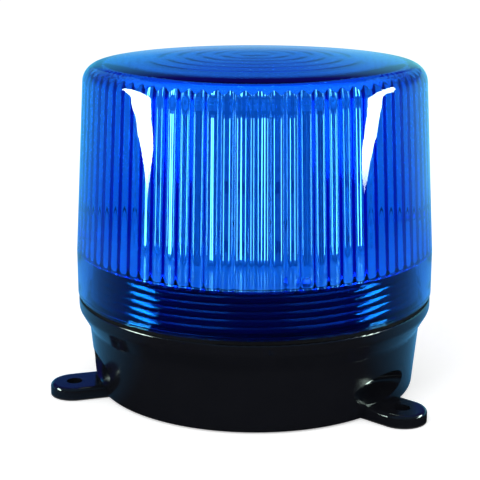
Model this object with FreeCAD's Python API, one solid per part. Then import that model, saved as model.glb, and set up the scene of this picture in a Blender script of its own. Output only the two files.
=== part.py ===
import FreeCAD, Part
import math
import os

from FreeCAD import Vector

# Flashing warning light: a clear fluted lens that screws on to a black base with three ears.
# Millimetres. Origin on the axis at the underside of the base, +Z up, first ear towards +Y.

# Ears and the screw pockets above them
ear_count = 3
ear_first_angle = 90.0
ear_reach = 7.35
ear_hole_r = 2.2
ear_half_width = 6.6
ear_thickness = 3.4
ear_edge_round = 1.1
pocket_reach = 13.3
pocket_half_height = 4.5
pocket_mid_z = 7.2
pocket_wall = 2.2

# Base housing: the neck that the lens screws on to sets the other radii
neck_r = 45.7
neck_height = 12.8
neck_edge = 0.6
neck_wall = 2.6
flange_step = 0.2
flange_height = 3.0
flange_edge_round = 0.5
flare_reach = 2.8
flare_height = 5.0
flare_round = 2.5
wall_lean = 1.7
wall_height = 17.6
foot_round = 1.2
foot_width = 8.0
floor_recess = 2.2
floor_thickness = 2.4

# Pillars that carry the deck board, and bosses that carry the driver board
pillar_turn = -30.0
pillar_inset = 4.8
pillar_r = 3.4
pillar_web = 2.0
boss_count = 3
boss_first_angle = 0.0
boss_inset = 5.0
boss_r = 3.2
boss_height = 6.5
pilot_depth = 9.0
pilot_floor = 1.2

# Lens
thread_room = 1.5
rim_gap = 1.0
lens_skirt_wall = 2.8
lens_skirt_over_neck = 0.3
lens_height = 66.0
lens_draft_angle = 3.45
lens_crown = 2.6
lens_shoulder_r = 5.0
lens_rim_bevel = 0.4
lens_wall = 3.0
lens_top_wall = 2.2
lens_inner_round = 4.0
lens_level_inset = 10.4
neck_headroom = 0.6
hollow_overlap = 1.0
flute_count = 80
flute_depth = 0.7
ring_count = 6
ring_inset = 6.5
ring_depth = 0.1

# Seal between the lens rim and the flange
seal_inner_step = 0.1
seal_outer_step = 0.3
seal_key_width = 0.8
seal_key_height = 0.6
seal_clearance = 0.15

# Boards
board_thickness = 1.6
deck_clearance = 0.5
deck_below_neck = 0.4
driver_clearance = 2.9
driver_window_r = 8.0

# Tower of upright boards on the deck
tower_faces = 6
tower_first_angle = -77.0
tower_inner_flat = 18.0
tower_height = 41.4
tower_corner_gap = 0.2
tab_width = 7.0
tab_stub = 0.6
slot_clearance = 0.15

# Light strips and resistors on the upright boards, light emitters on the cap board
strip_width = 2.4
strip_end_gap = 1.0
strip_offset = 4.8
led_length = 5.7
led_width = 3.0
led_height = 0.9
led_border = 0.6
led_window_depth = 0.35
led_window_slope = 0.15
cap_led_circle_r = 11.0
resistor_length = 3.2
resistor_width = 1.6
resistor_height = 0.6
resistor_pitch = 2.2
resistors_per_row = 3
resistor_row_heights = (5.2, 21.4)

# Screws
screw_shank_r = 1.2
screw_length = 8.0
screw_head_r = 2.6
screw_head_height = 1.8
screw_clearance = 0.05
screw_hole_play = 0.3

# Cable grommet
cable_r = 3.0
grommet_neck_r = 5.4
grommet_lip_r = 7.6
grommet_lip = 1.8
grommet_nose_r = 4.6
grommet_nose = 2.4
grommet_clearance = 0.15

# Parts on the driver board: centres are (x, y) on the board
terminal_centre = (0.0, -21.0)
terminal_pitch = 5.08
terminal_poles = 2
terminal_depth = 8.0
terminal_height = 10.0
terminal_entry_r = 1.5
terminal_screw_r = 1.9
terminal_screw_height = 2.4
terminal_well_depth = 4.0
terminal_well_play = 0.15
capacitor_centres = ((7.0, 20.5), (19.0, 12.5))
capacitor_r = 5.0
capacitor_height = 16.0
capacitor_edge = 0.6
capacitor_groove = 0.5
capacitor_groove_z = 2.2
inductor_centre = (-20.0, 8.0)
inductor_r = 6.5
inductor_height = 8.0
inductor_cheek = 1.4
inductor_post_r = 3.0
winding_clearance = 0.1
winding_depth = 2.6
transistor_centre = (18.5, -13.0)
transistor_width = 10.0
transistor_depth = 4.5
transistor_body = 8.6
transistor_tab = 6.0
transistor_tab_thickness = 1.3
transistor_tab_hole_r = 1.8
transistor_leg = 2.0
transistor_leg_side = 0.8
transistor_leg_pitch = 2.54
chip_centre = (-17.0, -10.0)
chip_length = 9.8
chip_width = 6.4
chip_height = 3.2
chip_stand = 0.6
chip_leg_count = 4
chip_leg_pitch = 2.54
chip_leg_width = 0.6
chip_leg_thickness = 0.3
chip_notch_r = 0.8
chip_notch_depth = 0.4

# Wires from the driver board up to the deck board: foot and head of each are (x, y)
wire_r = 0.8
wire_bend_share = 0.45
wire_red_foot = (-5.0, 26.5)
wire_red_head = (-2.0, 27.5)
wire_black_foot = (-1.0, 26.5)
wire_black_head = (2.0, 27.5)

# Heights worked out from the sizes above
floor_top = floor_recess + floor_thickness
flange_low = wall_height + flare_height
flange_top = flange_low + flange_height
neck_top = flange_top + neck_height
rim_z = flange_top + rim_gap
taper_z = neck_top + lens_skirt_over_neck
lens_top = rim_z + lens_height
corner_z = lens_top - lens_crown
bore_top = neck_top + neck_headroom
deck_top = neck_top - deck_below_neck
deck_low = deck_top - board_thickness
driver_low = floor_top + boss_height
driver_top = driver_low + board_thickness
tower_top = deck_top + tower_height
tower_outer_flat = tower_inner_flat + board_thickness


def sphere_radius(radius, rise):
    """Radius of the sphere whose cap has this rim radius and rise."""
    return (radius ** 2 + rise ** 2) / (2 * rise)


# Radii and angles worked out from the sizes above
cup_r = neck_r - neck_wall
lens_bore_r = neck_r + thread_room
lens_skirt_r = lens_bore_r + lens_skirt_wall
flange_r = lens_skirt_r - flange_step
wall_top_r = flange_r - flare_reach
foot_r = wall_top_r - wall_lean
recess_r = foot_r - foot_width
ear_circle_r = foot_r + ear_reach
pillar_circle_r = cup_r - pillar_inset
driver_board_r = pillar_circle_r - pillar_r - driver_clearance
boss_circle_r = driver_board_r - boss_inset
draft = math.tan(math.radians(lens_draft_angle))
corner_r = lens_skirt_r - draft * (corner_z - taper_z)
dome_r = sphere_radius(corner_r, lens_crown)
level_r = corner_r - lens_level_inset
ring_pitch = (level_r - ring_inset) / ring_count
seal_inner_r = lens_bore_r + seal_inner_step
seal_outer_r = lens_skirt_r - seal_outer_step
seal_key_r = (seal_inner_r + seal_outer_r) / 2
pilot_r = screw_shank_r + screw_clearance
screw_hole_r = screw_shank_r + screw_hole_play
pillar_first_angle = ear_first_angle + pillar_turn


# Small helpers

def polar(radius, angle, z=0.0):
    """Point at a radius and an angle in degrees about the Z axis."""
    turn = math.radians(angle)
    return Vector(radius * math.cos(turn), radius * math.sin(turn), z)


def spread(count, first):
    """Evenly spaced angles round the axis."""
    return [first + 360.0 * k / count for k in range(count)]


def profile_face(start, steps):
    """Closed face in the XZ plane: each step is an end point, or a middle and an end point of an arc."""
    edges = []
    here = Vector(start[0], 0, start[1])
    first = here
    for step in steps:
        end = Vector(step[-2], 0, step[-1])
        if len(step) == 2:
            edges.append(Part.LineSegment(here, end).toShape())
        else:
            middle = Vector(step[0], 0, step[1])
            edges.append(Part.Arc(here, middle, end).toShape())
        here = end
    if here.distanceToPoint(first) > 1e-6:
        edges.append(Part.LineSegment(here, first).toShape())
    return Part.Face(Part.Wire(edges))


def revolve(start, steps):
    """Solid of revolution about the Z axis."""
    return profile_face(start, steps).revolve(Vector(0, 0, 0), Vector(0, 0, 1), 360)


def cylinder(radius, height, place, direction=Vector(0, 0, 1)):
    return Part.makeCylinder(radius, height, place, direction)


def centred_box(length, width, height, place):
    """Box centred on a place in X and Y, standing on it in Z."""
    corner = Vector(place.x - length / 2, place.y - width / 2, place.z)
    return Part.makeBox(length, width, height, corner)


def turned(shape, angle):
    """Copy of a shape turned about the Z axis."""
    copy = shape.copy()
    copy.rotate(Vector(0, 0, 0), Vector(0, 0, 1), angle)
    return copy


def moved(shape, place):
    copy = shape.copy()
    copy.translate(place)
    return copy


def rounded(corners):
    """Profile steps through corners (r, z, fillet radius), with a tangent arc at each that has a radius."""
    points = [Vector(c[0], 0, c[1]) for c in corners]
    steps = []
    for k, (r, z, fillet) in enumerate(corners):
        if fillet == 0:
            steps.append((r, z))
            continue
        back = (points[k - 1] - points[k]).normalize()
        ahead = (points[k + 1] - points[k]).normalize()
        half = back.getAngle(ahead) / 2
        start = points[k] + back * (fillet / math.tan(half))
        end = points[k] + ahead * (fillet / math.tan(half))
        middle = points[k] + (back + ahead).normalize() * (fillet / math.sin(half) - fillet)
        steps.append((start.x, start.z))
        steps.append((middle.x, middle.z, end.x, end.z))
    return steps


def shoulder(low, high, apex, ball_r, fillet):
    """Profile steps up a wall from low to high and on to a domed top, with a tangent arc between them.

    The dome is part of a ball about the axis with its apex at the height given.
    The last point returned is where the arc meets the dome.
    """
    along = Vector(high[0] - low[0], 0, high[1] - low[1]).normalize()
    inward = Vector(-along.z, 0, along.x)
    ball = Vector(0, 0, apex - ball_r)
    offset = Vector(low[0], 0, low[1]) + inward * fillet - ball
    reach = ball_r - fillet
    b = offset.dot(along)
    travel = -b + math.sqrt(b ** 2 - offset.dot(offset) + reach ** 2)
    centre = offset + along * travel
    start = ball + centre - inward * fillet
    end = ball + centre * (ball_r / centre.Length)
    outward = (start - ball - centre).normalize() + (end - ball - centre).normalize()
    middle = ball + centre + outward.normalize() * fillet
    return [(start.x, start.z), (middle.x, middle.z, end.x, end.z)]


def save(name, *solids):
    shape = solids[0] if len(solids) == 1 else Part.makeCompound(list(solids))
    shape.exportStep(os.path.join("parts", name + ".step"))


# Base housing

def base_envelope():
    """Outside of the base as a filled turned form."""
    return revolve((0, 0), rounded([
        (0, 0, 0),
        (foot_r, 0, foot_round),
        (wall_top_r, wall_height, flare_round),
        (flange_r, flange_low, flare_round),
        (flange_r, flange_top, flange_edge_round),
        (neck_r, flange_top, 0),
        (neck_r, neck_top - neck_edge, 0),
        (neck_r - neck_edge, neck_top, 0),
        (0, neck_top, 0),
    ])[1:])


def pocket_form(extra):
    """Flattened round hollow about the axis of one ear screw, grown by an extra wall."""
    reach = pocket_reach + extra
    rise = pocket_half_height + extra
    oval = Part.Ellipse(Vector(reach, 0, 0), Vector(0, rise, 0), Vector(0, 0, 0))
    half = oval.toShape(-math.pi / 2, math.pi / 2)
    half.rotate(Vector(0, 0, 0), Vector(1, 0, 0), 90)
    closing = Part.LineSegment(Vector(0, 0, rise), Vector(0, 0, -rise)).toShape()
    form = Part.Face(Part.Wire([half, closing])).revolve(Vector(0, 0, 0), Vector(0, 0, 1), 360)
    return moved(form, Vector(ear_circle_r, 0, pocket_mid_z))


def ear_tab():
    """One ear along +X: a tongue with a round end about its screw hole."""
    inner = cup_r
    tongue = Part.makeBox(ear_circle_r - inner, 2 * ear_half_width, ear_thickness,
                          Vector(inner, -ear_half_width, 0))
    end = cylinder(ear_half_width, ear_thickness, Vector(ear_circle_r, 0, 0))
    tab = tongue.fuse(end).removeSplitter()
    rim = [e for e in tab.Edges if e.BoundBox.ZMin > ear_thickness - 1e-6 and e.BoundBox.XMax > inner + 1]
    return tab.makeFillet(ear_edge_round, rim)


def pillar(low, high, radius):
    return cylinder(radius, high - low, Vector(0, 0, low))


def make_base_housing():
    outside = base_envelope()
    cup = cylinder(cup_r, neck_top, Vector(0, 0, floor_top))
    ear_angles = spread(ear_count, ear_first_angle)
    swell = [turned(pocket_form(pocket_wall), a).common(outside) for a in ear_angles]
    body = outside.cut(cup).fuse(swell)
    body = body.cut([turned(pocket_form(0), a) for a in ear_angles])
    body = body.fuse([turned(ear_tab(), a) for a in ear_angles])

    pillars = []
    for angle in spread(ear_count, pillar_first_angle):
        post = pillar(floor_recess, deck_low, pillar_r)
        post.translate(polar(pillar_circle_r, 0))
        reach = cup_r + pillar_web - pillar_circle_r
        web = Part.makeBox(reach, pillar_web, deck_low - floor_recess,
                           Vector(pillar_circle_r, -pillar_web / 2, floor_recess))
        pillars.append(turned(post.fuse(web), angle))
    for angle in spread(boss_count, boss_first_angle):
        pillars.append(moved(pillar(floor_recess, driver_low, boss_r), polar(boss_circle_r, angle)))
    body = body.fuse(pillars)

    holes = [cylinder(recess_r, floor_recess, Vector(0, 0, 0)),
             cylinder(grommet_neck_r + grommet_clearance, floor_top, Vector(0, 0, 0))]
    for angle in ear_angles:
        holes.append(cylinder(ear_hole_r, 2 * ear_thickness, polar(ear_circle_r, angle, -ear_thickness / 2)))
    for angle in spread(ear_count, pillar_first_angle):
        holes.append(cylinder(pilot_r, pilot_depth, polar(pillar_circle_r, angle, deck_low - pilot_depth)))
    for angle in spread(boss_count, boss_first_angle):
        depth = driver_low - floor_recess - pilot_floor
        holes.append(cylinder(pilot_r, depth, polar(boss_circle_r, angle, driver_low - depth)))
    return body.cut(holes).removeSplitter()


# Lens

def outer_r(z):
    """Radius of the lens outside at a height on its tapered wall."""
    return lens_skirt_r - draft * max(z - taper_z, 0.0)


def roof(radius, apex):
    """Height of the domed top at a radius, for an apex height."""
    return apex - dome_r + math.sqrt(dome_r ** 2 - radius ** 2)


def lens_envelope():
    turn = shoulder((lens_skirt_r, taper_z), (corner_r, corner_z), lens_top, dome_r, lens_shoulder_r)
    mid_r = turn[-1][-2] / 2
    return revolve((0, rim_z), [
        (lens_skirt_r - lens_rim_bevel, rim_z),
        (lens_skirt_r, rim_z + lens_rim_bevel),
        (lens_skirt_r, taper_z),
        *turn,
        (mid_r, roof(mid_r, lens_top), 0, lens_top),
    ])


def flute_rods():
    """Round rods side by side along the tapered wall: each bulges in towards the axis as one flute."""
    low = bore_top - hollow_overlap
    half_step = math.pi / flute_count
    valley = outer_r(low) - lens_wall
    rod_r = sphere_radius(valley * math.sin(half_step), flute_depth)
    axis_r = valley * math.cos(half_step) - flute_depth + rod_r
    lean = Vector(-draft, 0, 1).normalize()
    start = Vector(axis_r, 0, low) - lean * hollow_overlap
    rod = cylinder(rod_r, lens_height, start, lean)
    return [turned(rod, a) for a in spread(flute_count, 0.0)]


def ringed_core():
    """Hollow of the lens before the flutes: its top is level near the wall and rippled about the axis."""
    low = bore_top - hollow_overlap
    apex = lens_top - lens_top_wall
    edge_r = ring_count * ring_pitch
    mid_r = (level_r + edge_r) / 2
    level_z = roof(level_r, apex)
    steps = rounded([
        (outer_r(low) - lens_wall + flute_depth, low, 0),
        (outer_r(level_z) - lens_wall + flute_depth, level_z, lens_inner_round),
        (level_r, level_z, 0),
    ])
    steps.append((mid_r, roof(mid_r, apex), edge_r, roof(edge_r, apex)))
    for k in range(ring_count, 1, -1):
        crest_r = (k - 0.5) * ring_pitch
        end_r = (k - 1) * ring_pitch
        steps.append((crest_r, roof(crest_r, apex) - ring_depth, end_r, roof(end_r, apex)))
    drop = roof(ring_pitch, apex) - apex + ring_depth
    bead_r = sphere_radius(ring_pitch, drop)
    half = ring_pitch / 2
    bead_mid = apex - ring_depth + bead_r - math.sqrt(bead_r ** 2 - half ** 2)
    steps.append((half, bead_mid, 0, apex - ring_depth))
    return revolve((0, low), steps)


def make_lens():
    hollow = ringed_core().cut(flute_rods())
    bore = cylinder(lens_bore_r, bore_top - rim_z, Vector(0, 0, rim_z))
    half_groove = seal_key_width / 2 + seal_clearance
    groove_depth = seal_key_height + seal_clearance
    groove = cylinder(seal_key_r + half_groove, groove_depth, Vector(0, 0, rim_z)).cut(
        cylinder(seal_key_r - half_groove, groove_depth, Vector(0, 0, rim_z)))
    return lens_envelope().cut([bore, groove]).cut(hollow)


def make_lens_seal():
    key_in = seal_key_r - seal_key_width / 2
    key_out = seal_key_r + seal_key_width / 2
    return revolve((seal_inner_r, flange_top), [
        (seal_outer_r, flange_top),
        (seal_outer_r, rim_z),
        (key_out, rim_z),
        (key_out, rim_z + seal_key_height),
        (key_in, rim_z + seal_key_height),
        (key_in, rim_z),
        (seal_inner_r, rim_z),
    ])


# Boards

def make_driver_board():
    disc = cylinder(driver_board_r, board_thickness, Vector(0, 0, driver_low))
    holes = [cylinder(driver_window_r, board_thickness, Vector(0, 0, driver_low))]
    for angle in spread(boss_count, boss_first_angle):
        holes.append(cylinder(screw_hole_r, board_thickness, polar(boss_circle_r, angle, driver_low)))
    return disc.cut(holes)


def tab_slot(z):
    """Slot for one board tab, on the first tower face."""
    half = tab_width / 2 + slot_clearance
    return Part.makeBox(board_thickness + 2 * slot_clearance, 2 * half, board_thickness,
                        Vector(tower_inner_flat - slot_clearance, -half, z))


def face_angles():
    return spread(tower_faces, tower_first_angle)


def make_deck_board():
    disc = cylinder(cup_r - deck_clearance, board_thickness, Vector(0, 0, deck_low))
    holes = [turned(tab_slot(deck_low), a) for a in face_angles()]
    for angle in spread(ear_count, pillar_first_angle):
        holes.append(cylinder(screw_hole_r, board_thickness, polar(pillar_circle_r, angle, deck_low)))
    return disc.cut(holes)


def make_led_board():
    """Upright board on the first tower face, with a tab at each end."""
    half = tower_inner_flat * math.tan(math.pi / tower_faces) - tower_corner_gap
    plate = Part.makeBox(board_thickness, 2 * half, tower_height,
                         Vector(tower_inner_flat, -half, deck_top))
    tab = board_thickness + tab_stub
    tabs = [Part.makeBox(board_thickness, tab_width, tab, Vector(tower_inner_flat, -tab_width / 2, z))
            for z in (deck_top - tab, tower_top)]
    return plate.fuse(tabs).removeSplitter()


def make_cap_board():
    corner = tower_outer_flat / math.cos(math.pi / tower_faces)
    half_step = 180.0 / tower_faces
    corners = [polar(corner, a + half_step, tower_top) for a in face_angles()]
    plate = Part.Face(Part.makePolygon(corners + corners[:1])).extrude(Vector(0, 0, board_thickness))
    return plate.cut([turned(tab_slot(tower_top), a) for a in face_angles()])


def make_led(length, width):
    """Light emitter that lies on the XY plane: a block with a sloping rectangular window."""
    block = centred_box(length, width, led_height, Vector(0, 0, 0))

    def outline(inset, z):
        x = length / 2 - inset
        y = width / 2 - inset
        points = [Vector(x, y, z), Vector(-x, y, z), Vector(-x, -y, z), Vector(x, -y, z)]
        return Part.makePolygon(points + points[:1])

    floor_z = led_height - led_window_depth
    window = Part.makeLoft([outline(led_border + led_window_slope, floor_z),
                            outline(led_border, led_height)], True, True)
    return block.cut(window)


def on_tower(shape, across, z):
    """Lay a shape made on the XY plane against the first tower face."""
    copy = shape.copy()
    copy.rotate(Vector(0, 0, 0), Vector(0, 1, 0), 90)
    copy.rotate(Vector(0, 0, 0), Vector(1, 0, 0), 90)
    copy.translate(Vector(tower_outer_flat, across, z))
    return copy


def make_tower_leds():
    strip = make_led(strip_width, tower_height - 2 * strip_end_gap)
    middle = deck_top + tower_height / 2
    pair = [on_tower(strip, across, middle) for across in (-strip_offset, strip_offset)]
    return [turned(one, a) for a in face_angles() for one in pair]


def make_tower_resistors():
    block = centred_box(resistor_width, resistor_length, resistor_height, Vector(0, 0, 0))
    first = -resistor_pitch * (resistors_per_row - 1) / 2
    group = [on_tower(block, first + k * resistor_pitch, deck_top + height)
             for height in resistor_row_heights for k in range(resistors_per_row)]
    return [turned(one, a) for a in face_angles() for one in group]


def make_cap_leds():
    led = make_led(led_length, led_width)
    seat = tower_top + board_thickness
    around = [turned(moved(led, Vector(cap_led_circle_r, 0, seat)), a) for a in face_angles()]
    return [moved(led, Vector(0, 0, seat))] + around


# Screws

def make_screw(seat):
    """Pan-head screw with its head on a seat."""
    side = screw_head_height / 2
    ball_r = sphere_radius(screw_head_r, screw_head_height - side)
    mid_r = screw_head_r / 2
    mid_z = seat.z + screw_head_height - ball_r + math.sqrt(ball_r ** 2 - mid_r ** 2)
    body = revolve((0, seat.z - screw_length), [
        (screw_shank_r, seat.z - screw_length),
        (screw_shank_r, seat.z),
        (screw_head_r, seat.z),
        (screw_head_r, seat.z + side),
        (mid_r, mid_z, 0, seat.z + screw_head_height),
    ])
    return moved(body, Vector(seat.x, seat.y, 0))


def make_driver_screws():
    return [make_screw(polar(boss_circle_r, a, driver_top)) for a in spread(boss_count, boss_first_angle)]


def make_deck_screws():
    return [make_screw(polar(pillar_circle_r, a, deck_top)) for a in spread(ear_count, pillar_first_angle)]


# Cable inlet

def make_cable_grommet():
    low = floor_recess - grommet_lip
    nose_low = floor_top + grommet_lip
    return revolve((cable_r, low), [
        (grommet_lip_r, low),
        (grommet_lip_r, floor_recess),
        (grommet_neck_r, floor_recess),
        (grommet_neck_r, floor_top),
        (grommet_lip_r, floor_top),
        (grommet_nose_r, nose_low),
        (grommet_nose_r, nose_low + grommet_nose),
        (cable_r, nose_low + grommet_nose),
    ])


# Parts on the driver board

def on_driver(centre, z=0.0):
    return Vector(centre[0], centre[1], driver_top + z)


def terminal_places():
    first = -terminal_pitch * (terminal_poles - 1) / 2
    return [Vector(terminal_centre[0] + first + k * terminal_pitch, terminal_centre[1], 0)
            for k in range(terminal_poles)]


def make_terminal_block():
    block = centred_box(terminal_pitch * terminal_poles, terminal_depth, terminal_height,
                        on_driver(terminal_centre))
    top = driver_top + terminal_height
    holes = []
    for place in terminal_places():
        holes.append(cylinder(terminal_screw_r + terminal_well_play, terminal_well_depth,
                              Vector(place.x, place.y, top - terminal_well_depth)))
        entry = Vector(place.x, place.y + terminal_depth / 2, driver_top + terminal_height / 3)
        holes.append(cylinder(terminal_entry_r, terminal_depth / 2, entry, Vector(0, -1, 0)))
    return block.cut(holes)


def make_terminal_screws():
    low = driver_top + terminal_height - terminal_well_depth
    return [cylinder(terminal_screw_r, terminal_screw_height, Vector(p.x, p.y, low))
            for p in terminal_places()]


def make_storage_capacitors():
    waist = capacitor_r - capacitor_groove
    can = revolve((0, 0), [
        (capacitor_r, 0),
        (capacitor_r, capacitor_groove_z - capacitor_groove),
        (waist, capacitor_groove_z),
        (capacitor_r, capacitor_groove_z + capacitor_groove),
        (capacitor_r, capacitor_height - capacitor_edge),
        (capacitor_r - capacitor_edge, capacitor_height),
        (0, capacitor_height),
    ])
    return [moved(can, on_driver(centre)) for centre in capacitor_centres]


def make_inductor_core():
    core = revolve((0, 0), [
        (inductor_r, 0),
        (inductor_r, inductor_cheek),
        (inductor_post_r, inductor_cheek),
        (inductor_post_r, inductor_height - inductor_cheek),
        (inductor_r, inductor_height - inductor_cheek),
        (inductor_r, inductor_height),
        (0, inductor_height),
    ])
    return moved(core, on_driver(inductor_centre))


def make_inductor_winding():
    inner = inductor_post_r + winding_clearance
    low = inductor_cheek + winding_clearance
    high = inductor_height - inductor_cheek - winding_clearance
    ring = revolve((inner, low), [
        (inner + winding_depth, low),
        (inner + winding_depth, high),
        (inner, high),
    ])
    return moved(ring, on_driver(inductor_centre))


def make_power_transistor():
    seat = on_driver(transistor_centre)
    body_low = seat + Vector(0, 0, transistor_leg)
    body = centred_box(transistor_width, transistor_depth, transistor_body, body_low)
    back = seat.y + transistor_depth / 2 - transistor_tab_thickness / 2
    tab_low = Vector(seat.x, back, body_low.z + transistor_body)
    tab = centred_box(transistor_width, transistor_tab_thickness, transistor_tab, tab_low)
    hole = cylinder(transistor_tab_hole_r, transistor_depth,
                    Vector(seat.x, back - transistor_depth / 2, tab_low.z + transistor_tab / 2),
                    Vector(0, 1, 0))
    legs = [centred_box(transistor_leg_side, transistor_leg_side, transistor_leg,
                        seat + Vector(k * transistor_leg_pitch, 0, 0)) for k in (-1, 0, 1)]
    return body.fuse([tab] + legs).cut(hole).removeSplitter()


def make_timer_chip():
    seat = on_driver(chip_centre)
    block = centred_box(chip_length, chip_width, chip_height, seat + Vector(0, 0, chip_stand))
    top = seat.z + chip_stand + chip_height
    notch = cylinder(chip_notch_r, chip_notch_depth,
                     Vector(seat.x - chip_length / 2, seat.y, top - chip_notch_depth))
    leg_top = chip_stand + chip_height / 2
    legs = []
    first = -chip_leg_pitch * (chip_leg_count - 1) / 2
    for side in (-1, 1):
        y = side * (chip_width + chip_leg_thickness) / 2
        for k in range(chip_leg_count):
            place = seat + Vector(first + k * chip_leg_pitch, y, 0)
            legs.append(centred_box(chip_leg_width, chip_leg_thickness, leg_top, place))
    return block.cut(notch).fuse(legs).removeSplitter()


def make_link_wire(foot, head):
    """Wire that stands on the driver board, leans over and runs straight up to the deck board."""
    low = Vector(foot[0], foot[1], driver_top)
    high = Vector(head[0], head[1], deck_low)
    rise = (deck_low - driver_top) / 3
    points = [low, low + Vector(0, 0, rise), high - Vector(0, 0, rise), high]
    lean = points[2] - points[1]
    angle = lean.getAngle(Vector(0, 0, 1))
    reach = wire_bend_share * min(rise, lean.Length)
    bend = math.tan(angle / 4)
    edges = []
    here = low
    for corner, before, after in ((points[1], points[0], points[2]), (points[2], points[1], points[3])):
        back = (before - corner).normalize()
        ahead = (after - corner).normalize()
        start = corner + back * reach
        end = corner + ahead * reach
        middle = corner + (back + ahead).normalize() * (reach * bend)
        edges.append(Part.LineSegment(here, start).toShape())
        edges.append(Part.Arc(start, middle, end).toShape())
        here = end
    edges.append(Part.LineSegment(here, high).toShape())
    section = Part.Wire(Part.makeCircle(wire_r, low, Vector(0, 0, 1)))
    return Part.Wire(edges).makePipeShell([section], True, False)


def main():
    os.makedirs("parts", exist_ok=True)
    save("base_housing", make_base_housing())
    save("cable_grommet", make_cable_grommet())
    save("lens", make_lens())
    save("lens_seal", make_lens_seal())
    save("driver_board", make_driver_board())
    save("driver_screws", *make_driver_screws())
    save("terminal_block", make_terminal_block())
    save("terminal_screws", *make_terminal_screws())
    save("storage_capacitors", *make_storage_capacitors())
    save("inductor_core", make_inductor_core())
    save("inductor_winding", make_inductor_winding())
    save("power_transistor", make_power_transistor())
    save("timer_chip", make_timer_chip())
    save("link_wire_red", make_link_wire(wire_red_foot, wire_red_head))
    save("link_wire_black", make_link_wire(wire_black_foot, wire_black_head))
    save("deck_board", make_deck_board())
    save("deck_screws", *make_deck_screws())
    led_board = make_led_board()
    for number, angle in enumerate(face_angles(), start=1):
        save("led_board_%d" % number, turned(led_board, angle))
    save("tower_leds", *make_tower_leds())
    save("tower_resistors", *make_tower_resistors())
    save("cap_board", make_cap_board())
    save("cap_leds", *make_cap_leds())


main()
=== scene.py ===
import logging
import math
from dataclasses import dataclass, replace
from enum import Enum
from typing import Callable, Sequence

import bmesh
import bpy
from mathutils import Matrix, Vector


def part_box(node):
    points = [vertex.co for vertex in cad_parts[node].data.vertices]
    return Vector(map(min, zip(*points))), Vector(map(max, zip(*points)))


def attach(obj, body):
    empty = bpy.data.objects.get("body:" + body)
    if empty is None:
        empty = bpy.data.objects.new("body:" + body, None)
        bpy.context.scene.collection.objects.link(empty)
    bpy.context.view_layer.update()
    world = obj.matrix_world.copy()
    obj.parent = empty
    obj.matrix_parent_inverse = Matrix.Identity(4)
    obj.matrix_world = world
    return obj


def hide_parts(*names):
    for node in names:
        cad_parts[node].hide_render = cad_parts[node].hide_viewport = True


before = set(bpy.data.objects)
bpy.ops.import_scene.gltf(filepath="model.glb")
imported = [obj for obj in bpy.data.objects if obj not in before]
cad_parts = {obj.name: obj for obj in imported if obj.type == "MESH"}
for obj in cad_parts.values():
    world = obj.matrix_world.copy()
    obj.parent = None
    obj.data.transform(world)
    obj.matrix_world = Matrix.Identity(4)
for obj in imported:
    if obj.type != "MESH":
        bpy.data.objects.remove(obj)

# Flashing warning light: a clear blue fluted lens that screws on to a black base with three ears.
# Sizes are in millimetres, in the row frame: origin on the axis at the underside of the base, +Z up.

log = logging.getLogger("warning_light")

MM = 0.001
# Least angle between two faces at an edge that stays sharp.
SHARP_DEG = 32.0
# Places of the colour sockets on the mix node: its two inputs and its result.
MIX_ONE, MIX_TWO, MIX_RESULT = 6, 7, 2
# Radians of the wave texture in one unit of length at a scale of 1.
WAVE_RATE = 20.0
# How much finer turning marks are along the axis than across it.
BRUSH_STRETCH = (1.0, 1.0, 12.0)
# Octaves of the cloudy patterns, and how strong the finer ones are.
CLOUD_DETAIL, CLOUD_ROUGHNESS = 4.0, 0.55
# Lies between a light path's diffuse depth of none and of one.
ONE_BOUNCE = 0.5
# How far the camera of the photograph stands to the right of -Y, in degrees.
CAMERA_AZIMUTH = 11.95

Link = tuple[bpy.types.Node, str | int]
Pairs = tuple[tuple[float, float], ...]


class Pattern(Enum):
    """What breaks up a surface: the mark that its making leaves."""

    FLOW = "cloudy flow marks of moulding or moulded rubber"
    WEAVE = "crossed glass threads under resist"
    BRUSHED = "fine scratches round the axis of a turned piece"
    TURNS = "wire lying turn on turn along Z"


class Recess(Enum):
    """Drive recess of a screw head, by the number of arms that meet at its middle."""

    CROSS = 4
    SLOT = 2


def linear(colour: str) -> tuple[float, float, float, float]:
    """Turn a hex sRGB colour into the linear colour that shaders take.

    Args:
        colour: six hex digits after a hash sign.

    Returns:
        Linear red, green, blue and an alpha of 1.
    """
    parts = [int(colour[k:k + 2], 16) / 255 for k in (1, 3, 5)]
    red, green, blue = (c / 12.92 if c <= 0.04045 else ((c + 0.055) / 1.055) ** 2.4 for c in parts)
    return red, green, blue, 1.0


def box_mm(node: str) -> tuple[Vector, Vector]:
    """Lowest and highest corner of a CAD node in millimetres.

    Args:
        node: name of the CAD node.

    Returns:
        The two corners.
    """
    low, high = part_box(node)
    return Vector(low) / MM, Vector(high) / MM


def add_node(tree: bpy.types.NodeTree, kind: str, links: dict[str | int, Link] | None = None,
             values: dict[str | int, object] | None = None, **settings: object) -> bpy.types.Node:
    """Add one shader node with its settings, socket values and incoming links.

    Args:
        tree: node tree of a material or the world.
        kind: Blender's name of the node type.
        links: for each input socket, the node and output that feed it.
        values: for each input socket, its constant value.
        settings: attributes of the node itself.

    Returns:
        The new node.
    """
    node = tree.nodes.new(kind)
    for name, value in settings.items():
        setattr(node, name, value)
    for socket, value in (values or {}).items():
        node.inputs[socket].default_value = value
    for socket, (source, output) in (links or {}).items():
        tree.links.new(source.outputs[output], node.inputs[socket])
    return node


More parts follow.
